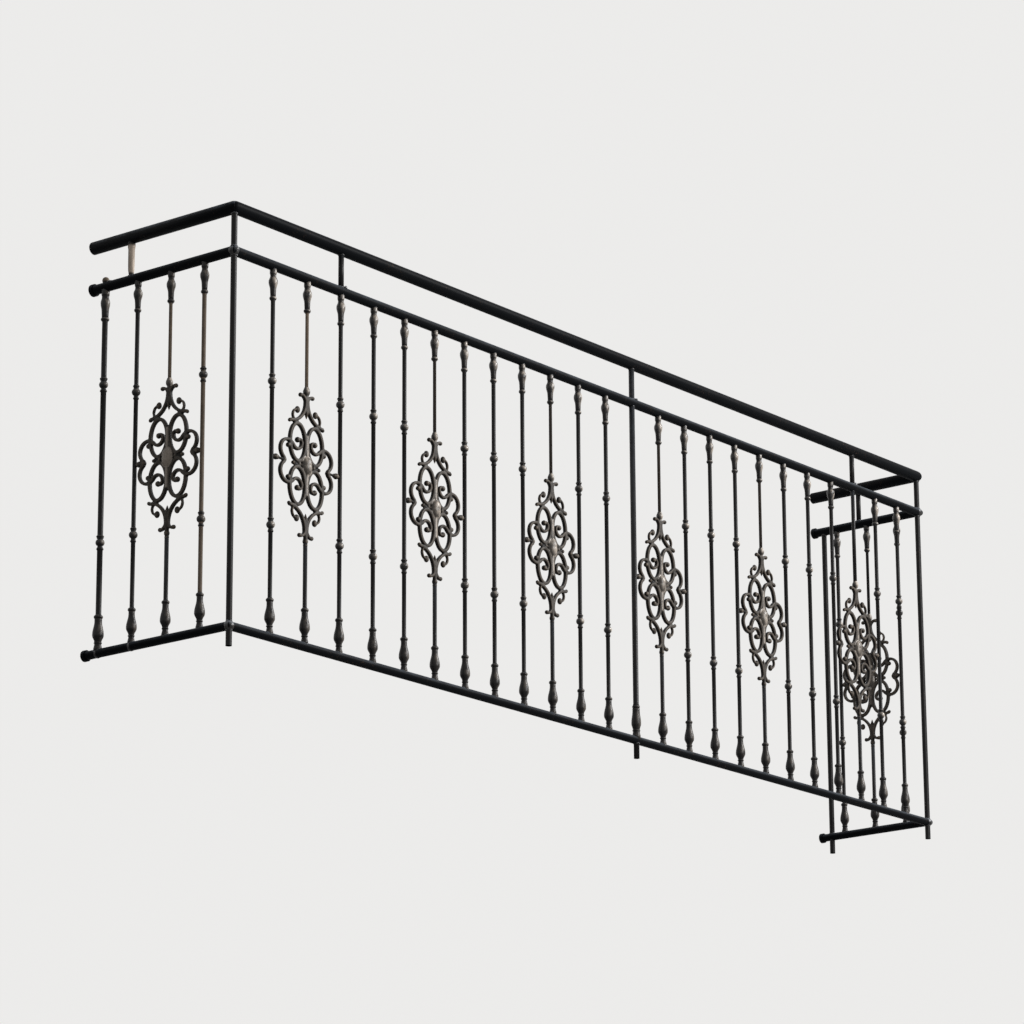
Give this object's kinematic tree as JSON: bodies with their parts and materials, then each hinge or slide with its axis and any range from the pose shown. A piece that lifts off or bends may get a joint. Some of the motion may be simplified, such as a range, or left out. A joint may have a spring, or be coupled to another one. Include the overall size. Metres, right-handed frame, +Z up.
{
  "type": "iron balcony railing",
  "caption": "Iron balcony railing with a round handrail, a front and side returns to the wall, turned uprights with vases and balls, and cast scrollwork between them.",
  "frame": {"origin": "centre of the flat foot of the middle post, where it stands on the balcony slab", "axes": "+Z up, +X along the front to the right as seen from the street, +Y towards the house wall"},
  "size_m": [2.79, 0.449, 1.02],
  "materials": {
    "rails": "satin black enamel, bluish highlights, worn edges",
    "posts": "satin black enamel with weld seams",
    "balusters": "satin black enamel, brownish wear",
    "castings": "black paint over cast iron, brown bronze wear on the high spots"
  },
  "bodies": {
    "root": {"handrail_front": "rails", "handrail_left": "rails", "handrail_right": "rails", "mid_rail_front": "rails", "mid_rail_left": "rails", "mid_rail_right": "rails", "bottom_rail_front": "rails", "bottom_rail_left": "rails", "bottom_rail_right": "rails", "corner_post_left": "posts", "corner_post_right": "posts", "middle_post": "posts", "wall_post_left": "posts", "wall_post_right": "posts", "struts": "posts", "balusters_front_1": "balusters", "balusters_front_2": "balusters", "balusters_front_3": "balusters", "balusters_front_4": "balusters", "balusters_front_5": "balusters", "balusters_front_6": "balusters", "balusters_front_7": "balusters", "balusters_left": "balusters", "balusters_right": "balusters", "rosette_front_1": "castings", "rosette_front_2": "castings", "rosette_front_3": "castings", "rosette_front_4": "castings", "rosette_front_5": "castings", "rosette_front_6": "castings", "rosette_left": "castings", "rosette_right": "castings"}
  },
  "joints": []
}
